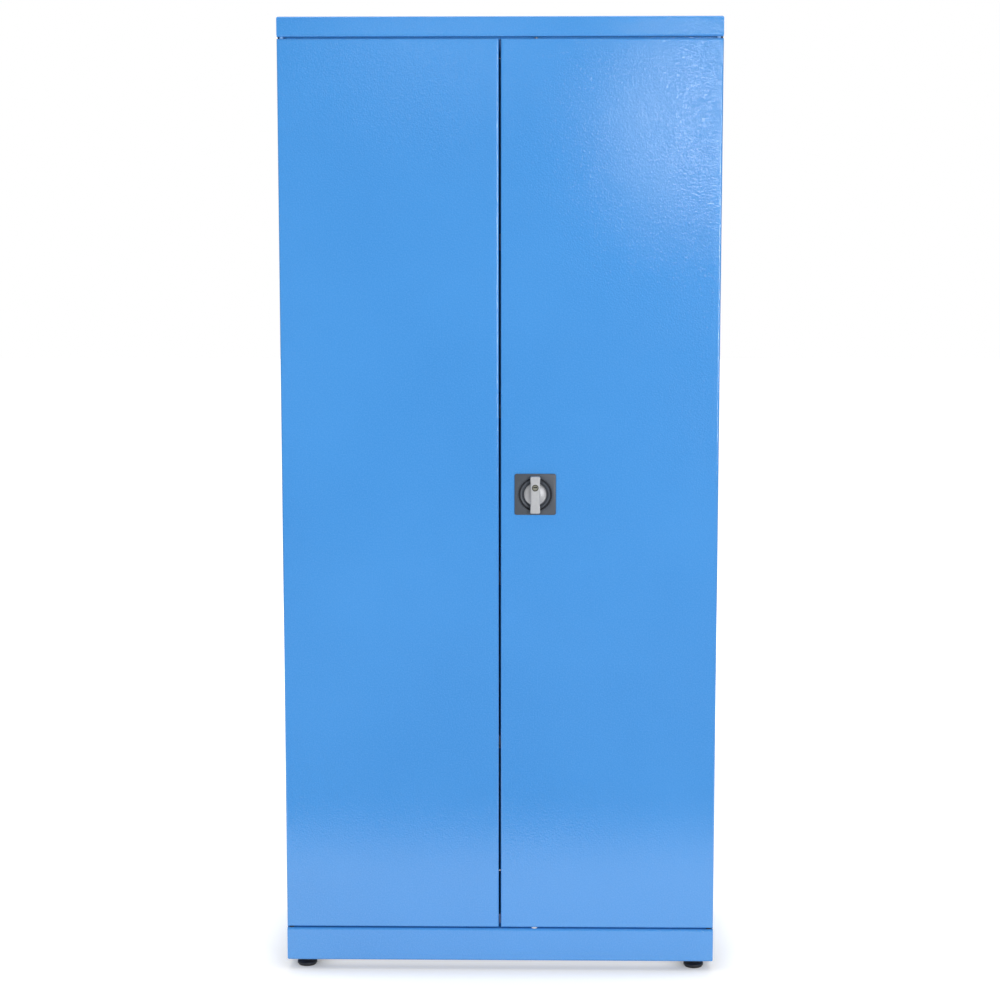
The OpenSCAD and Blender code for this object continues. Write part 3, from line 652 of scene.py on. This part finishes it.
def makeInfills():
    for z, word in zip(infill["z"], ("crown", "plinth")):
        every = [block(infill["size"], (side * infill["x"], 0, z), infill["edge"])
                 for side in (-1, 1)]
        name = word + "_corner_infills"
        piece(name, shell(name, joined(*every), fromDoorFace(0, infill["y"], 0)), "carcass",
              "blue_paint", (), 30)


makeInfills()

# door bumpers and magnets on the carcass, facing the doors
bumpers = dict(x=(84, 357), z=(101, 1928), back=21.57,
               dome=((0, 0), (5, 0), (5, 1.2), (4.85, 1.8), (4.4, 2.4), (3.5, 2.95), (2.2, 3.27),
                     (0, 3.37)))
magnets = dict(x=(-35, 35), z=1928, back=21.57, case=(40, 12, 3.07), pole=(22, 2, 1.2),
               poleUp=2.6, front=3.37, screwOut=16, screw=2.4, sink=0.5, soft=0.7, wellFloor=1,
               wellGap=0.2, slot=(3.4, 0.8, 1), screwEdge=0.9, screwTop=0.8,
               poleSoft=0.15)


def makeDoorStops():
    domes = []
    for x in bumpers["x"]:
        for side in (-1, 1):
            for z in bumpers["z"]:
                dome = turned(bumpers["dome"], 24)
                dome.transform(turnedToFront(side * x, bumpers["back"], z))
                domes.append(dome)
    piece("door_bumpers_domed", shell("bumpers", joined(*domes), fromDoorFace(0, 0, 0)), "carcass",
          "black_plastic", ["door_bumpers"], 40)
    cases, steel = [], []
    wide, tall, thick = magnets["case"]
    for x in magnets["x"]:
        spot = turnedToFront(x, magnets["back"], magnets["z"])
        case = block((wide, tall, thick), (0, 0, thick / 2), magnets["soft"], 3)
        for end in (-1, 1):
            bottom, wall = magnets["wellFloor"], magnets["screw"] + magnets["wellGap"]
            well = turned([(0, bottom), (wall, bottom), (wall, thick + 1), (0, thick + 1)], 24)
            bmesh.ops.translate(well, vec=(end * magnets["screwOut"], 0, 0), verts=well.verts)
            case = combined(case, well, "DIFFERENCE")
            foot, top, across = magnets["screwEdge"], thick - magnets["sink"], magnets["screw"]
            head = turned([(0, foot), (across, foot), (across, thick - foot),
                           (across * magnets["screwTop"], top), (0, top)], 24)
            head = combined(head, block(magnets["slot"], (0, 0, top)), "DIFFERENCE")
            bmesh.ops.translate(head, vec=(end * magnets["screwOut"], 0, 0), verts=head.verts)
            head.transform(spot)
            steel.append(head)
        case.transform(spot)
        cases.append(case)
        for up in (-1, 1):
            pole = block(magnets["pole"], (0, up * magnets["poleUp"],
                                           magnets["front"] - magnets["pole"][2] / 2),
                         magnets["poleSoft"])
            pole.transform(spot)
            steel.append(pole)
    piece("door_magnet_cases", shell("magnet cases", joined(*cases), fromDoorFace(0, 0, 0)),
          "carcass", "magnet_black", ["door_magnets"], 30)
    piece("door_magnet_poles", shell("magnet poles", joined(*steel), fromDoorFace(0, 0, 0)),
          "carcass", "plain_steel", (), 30)


makeDoorStops()
print("pivots, bumpers and magnets")

# shelf clips, bent from strip
clips = dict(width=10, face=437, rows=(81.57, 358), under=(467.5, 817.5, 1167.5, 1517.5),
             side=((-13, 0), (0, 0), (0, -0.5), (3.3, -0.5), (3.3, -11), (1.8, -11), (1.8, -4.5),
                   (0, -4.5), (0, -24), (-1.5, -24), (-1.5, -1.5), (-13, -1.5)),
             bends={3: 2.2, 6: 0.7, 10: 1.0, 8: 0.6, 9: 0.6, 0: 0.5, 11: 0.5})


def makeClip():
    bm = bmesh.new()
    outline = [bm.verts.new((x, 0, z)) for x, z in clips["side"]]
    bm.faces.new(outline)
    for corner, radius in clips["bends"].items():
        bmesh.ops.bevel(bm, geom=[outline[corner]], offset=radius, segments=4, affect="VERTICES",
                        profile=0.5, material=-1)
    raised = bmesh.ops.extrude_face_region(bm, geom=bm.faces[:], use_keep_orig=True)["geom"]
    ends = [g for g in raised if isinstance(g, bmesh.types.BMVert)]
    bmesh.ops.translate(bm, vec=(0, clips["width"], 0), verts=ends)
    bmesh.ops.translate(bm, vec=(0, -clips["width"] / 2, 0), verts=bm.verts)
    bmesh.ops.recalc_face_normals(bm, faces=bm.faces)
    return bm


def makeClips():
    every = []
    for z in clips["under"]:
        for row in clips["rows"]:
            for side in (-1, 1):
                bm = makeClip()
                bmesh.ops.translate(bm, vec=(clips["face"], row, z), verts=bm.verts)
                bmesh.ops.scale(bm, vec=(side, 1, 1), verts=bm.verts)
                every.append(bm)
    piece("shelf_clips_bent", shell("clips", joined(*every), fromDoorFace(0, 0, 0)), "carcass",
          "plain_steel", ["shelf_clips"], 40)


makeClips()

# spot welds along the feet of the door ribs
welds = dict(foot=6, pitch=65, ends=25, face=2, steps=14,
             ring=((0, -0.3), (3.3, -0.3), (3.3, 0), (2.8, 0.13), (2.1, 0.13), (1.6, 0.03), (0, 0.03)))


def makeWelds():
    for word in ("left_door", "right_door"):
        low, high = (Vector(c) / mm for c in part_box(word + "_rib"))
        length = high.z - low.z - 2 * welds["ends"]
        count = int(length / welds["pitch"]) + 1
        marks = []
        for x in (low.x + welds["foot"], high.x - welds["foot"]):
            for k in range(count):
                mark = turned(welds["ring"], welds["steps"])
                mark.transform(Matrix.Translation((x, welds["face"],
                                                   low.z + welds["ends"] + k * length / (count - 1)))
                               @ Matrix.Rotation(math.radians(-90), 4, "X"))
                marks.append(mark)
        piece(word + "_spot_welds", shell("welds", joined(*marks), fromDoorFace(0, 0, 0)), word,
              "blue_paint", (), 20)


makeWelds()
print("shelf clips and spot welds")

# camera, floor and light
view = dict(place=(0.0667, -4.2979, 1.4672), down=6.475, left=0.927, lens=72, sensor=36)
lens = bpy.data.cameras.new("camera")
lens.lens = view["lens"]
lens.sensor_width = view["sensor"]
camera = bpy.data.objects.new("camera", lens)
camera.location = view["place"]
camera.rotation_euler = (math.radians(90 - view["down"]), 0, math.radians(view["left"]))
bpy.context.scene.collection.objects.link(camera)
bpy.context.scene.camera = camera


def seenBy(tree):
    path = tree.nodes.new("ShaderNodeLightPath")
    total = path.outputs["Is Camera Ray"]
    for flag in ("Is Glossy Ray", "Is Transmission Ray"):
        add = tree.nodes.new("ShaderNodeMath")
        add.operation = "MAXIMUM"
        tree.links.new(total, add.inputs[0])
        tree.links.new(path.outputs[flag], add.inputs[1])
        total = add.outputs[0]
    return total


studio = dict(fill=0.30, floorSize=30, floorWhite=0.70, floorGlow=0.62, fade=(1.2, 2.8), reach=0.08,
              under=0.12)
world = bpy.data.worlds.new("studio")
bpy.context.scene.world = world
world.use_nodes = True
sky = world.node_tree.nodes["Background"]
sky.inputs["Color"].default_value = (1, 1, 1, 1)
world.node_tree.links.new(spread(world.node_tree, seenBy(world.node_tree), 0, 1, studio["fill"], 1.0),
                          sky.inputs["Strength"])

floorMesh = bmesh.new()
bmesh.ops.create_grid(floorMesh, x_segments=1, y_segments=1, size=studio["floorSize"])
floorData = bpy.data.meshes.new("floor")
floorMesh.to_mesh(floorData)
floorMesh.free()
floor = bpy.data.objects.new("floor", floorData)
bpy.context.scene.collection.objects.link(floor)
floorMat, tree, shader, at = newMaterial("pale floor", Roughness=0.9, Emission_Color=(1, 1, 1, 1))
shader.inputs["Base Color"].default_value = (studio["floorWhite"],) * 3 + (1,)
shader.inputs["Specular IOR Level"].default_value = 0
# far from the cabinet the floor glows to plain white, so it meets the backdrop unseen
away = tree.nodes.new("ShaderNodeVectorMath")
away.operation = "LENGTH"
tree.links.new(at, away.inputs[0])
glow = spread(tree, away.outputs["Value"], *studio["fade"], studio["floorGlow"], 1.0)
# and close under the cabinet the glow is cut by ambient occlusion: painted shade that deepens the real
# contact shadow
cover = tree.nodes.new("ShaderNodeAmbientOcclusion")
cover.inputs["Distance"].default_value = studio["reach"]
openShare = spread(tree, cover.outputs["AO"], 0, 1, studio["under"], 1)
for factor in (seenBy(tree), openShare):
    shown = tree.nodes.new("ShaderNodeMath")
    shown.operation = "MULTIPLY"
    tree.links.new(glow, shown.inputs[0])
    tree.links.new(factor, shown.inputs[1])
    glow = shown.outputs[0]
tree.links.new(glow, shader.inputs["Emission Strength"])
floorData.materials.append(floorMat)

# the unlit half of the studio: reflections see it, and the camera doesn't
flags = dict(wall=dict(turn=(90, 0), at=(0, -6.8, 3.0), half=(7.0, 3.0)),
             carpet=dict(turn=(0, 0), at=(0, -4.0, 0.02), half=(7.0, 2.85)),
             behind=dict(turn=(90, 0), at=(0, 2.6, 2.5), half=(4.6, 2.5)),
             ceiling=dict(turn=(0, 0), at=(0, -2.4, 5.0), half=(4.6, 4.4)),
             leftFlag=dict(turn=(90, 90), at=(-4.6, -2.2, 2.5), half=(4.8, 2.5)),
             rightFlag=dict(turn=(90, 90), at=(4.6, -2.2, 2.5), half=(4.8, 2.5)))
flagShade = dict(cloud=1.5, dark=(0.10, 0.10, 0.10), pale=(0.13, 0.13, 0.13))
flagMat, tree, shader, at = newMaterial("unlit studio", Roughness=0.9)
tree.links.new(tint(tree, noise(tree, at, flagShade["cloud"]), flagShade["dark"], flagShade["pale"]),
               shader.inputs["Base Color"])
for name, flag in flags.items():
    panel = bmesh.new()
    bmesh.ops.create_grid(panel, x_segments=1, y_segments=1, size=1)
    bmesh.ops.scale(panel, vec=(*flag["half"], 1), verts=panel.verts)
    for angle, axis in zip(flag["turn"], "XZ"):
        bmesh.ops.rotate(panel, cent=(0, 0, 0), verts=panel.verts,
                         matrix=Matrix.Rotation(math.radians(angle), 3, axis))
    bmesh.ops.translate(panel, vec=flag["at"], verts=panel.verts)
    data = bpy.data.meshes.new(name)
    panel.to_mesh(data)
    panel.free()
    data.materials.append(flagMat)
    board = bpy.data.objects.new(name, data)
    board.visible_camera = False
    board.visible_diffuse = False
    board.visible_shadow = False
    bpy.context.scene.collection.objects.link(board)

lamps = dict(
    keyLeft=dict(at=(-2.2, -5.2, 1.5), aim=(0, -0.2, 1.0), size=(1.2, 1.4), power=102),
    keyRight=dict(at=(2.2, -5.2, 1.5), aim=(0, -0.2, 1.0), size=(1.2, 1.4), power=106),
    spark=dict(at=(2.9, -4.0, 2.5), aim=(0.07, -0.2, 1.0), size=(0.4, 0.4), power=12),
    rear=dict(at=(0.0, 4.4, 2.0), aim=(0, 0.2, 1.0), size=(2.4, 1.6), power=56),
    top=dict(at=(0.0, 0.2, 4.6), aim=(0, 0.1, 0), size=(3.4, 2.0), power=60),
    sideLeft=dict(at=(-4.4, 0.9, 1.6), aim=(-0.45, 0, 1.0), size=(1.5, 2.4), power=36),
    sideRight=dict(at=(4.4, 0.9, 1.6), aim=(0.45, 0, 1.0), size=(1.5, 2.4), power=36),
    glow=dict(at=(0.83, -5.0, 2.14), aim=(0.42, -0.2, 1.8), size=(0.30, 0.34), power=4.7),
    faint=dict(at=(-0.37, -5.0, 2.56), aim=(-0.14, -0.2, 1.9), size=(0.55, 0.35), power=0.9))
mirrored = ("keyRight", "spark", "top", "glow", "faint")  # the lamps that reflections show
for name, lamp in lamps.items():
    data = bpy.data.lights.new(name, "AREA")
    data.shape = "RECTANGLE"
    data.size, data.size_y = lamp["size"]
    data.energy = lamp["power"]
    shine = bpy.data.objects.new(name, data)
    shine.location = lamp["at"]
    way = Vector(lamp["aim"]) - Vector(lamp["at"])
    shine.rotation_euler = way.to_track_quat("-Z", "Y").to_euler()
    shine.visible_camera = False
    shine.visible_glossy = name in mirrored
    bpy.context.scene.collection.objects.link(shine)
bpy.context.scene.view_settings.view_transform = "Standard"
print("camera, floor and lamps")
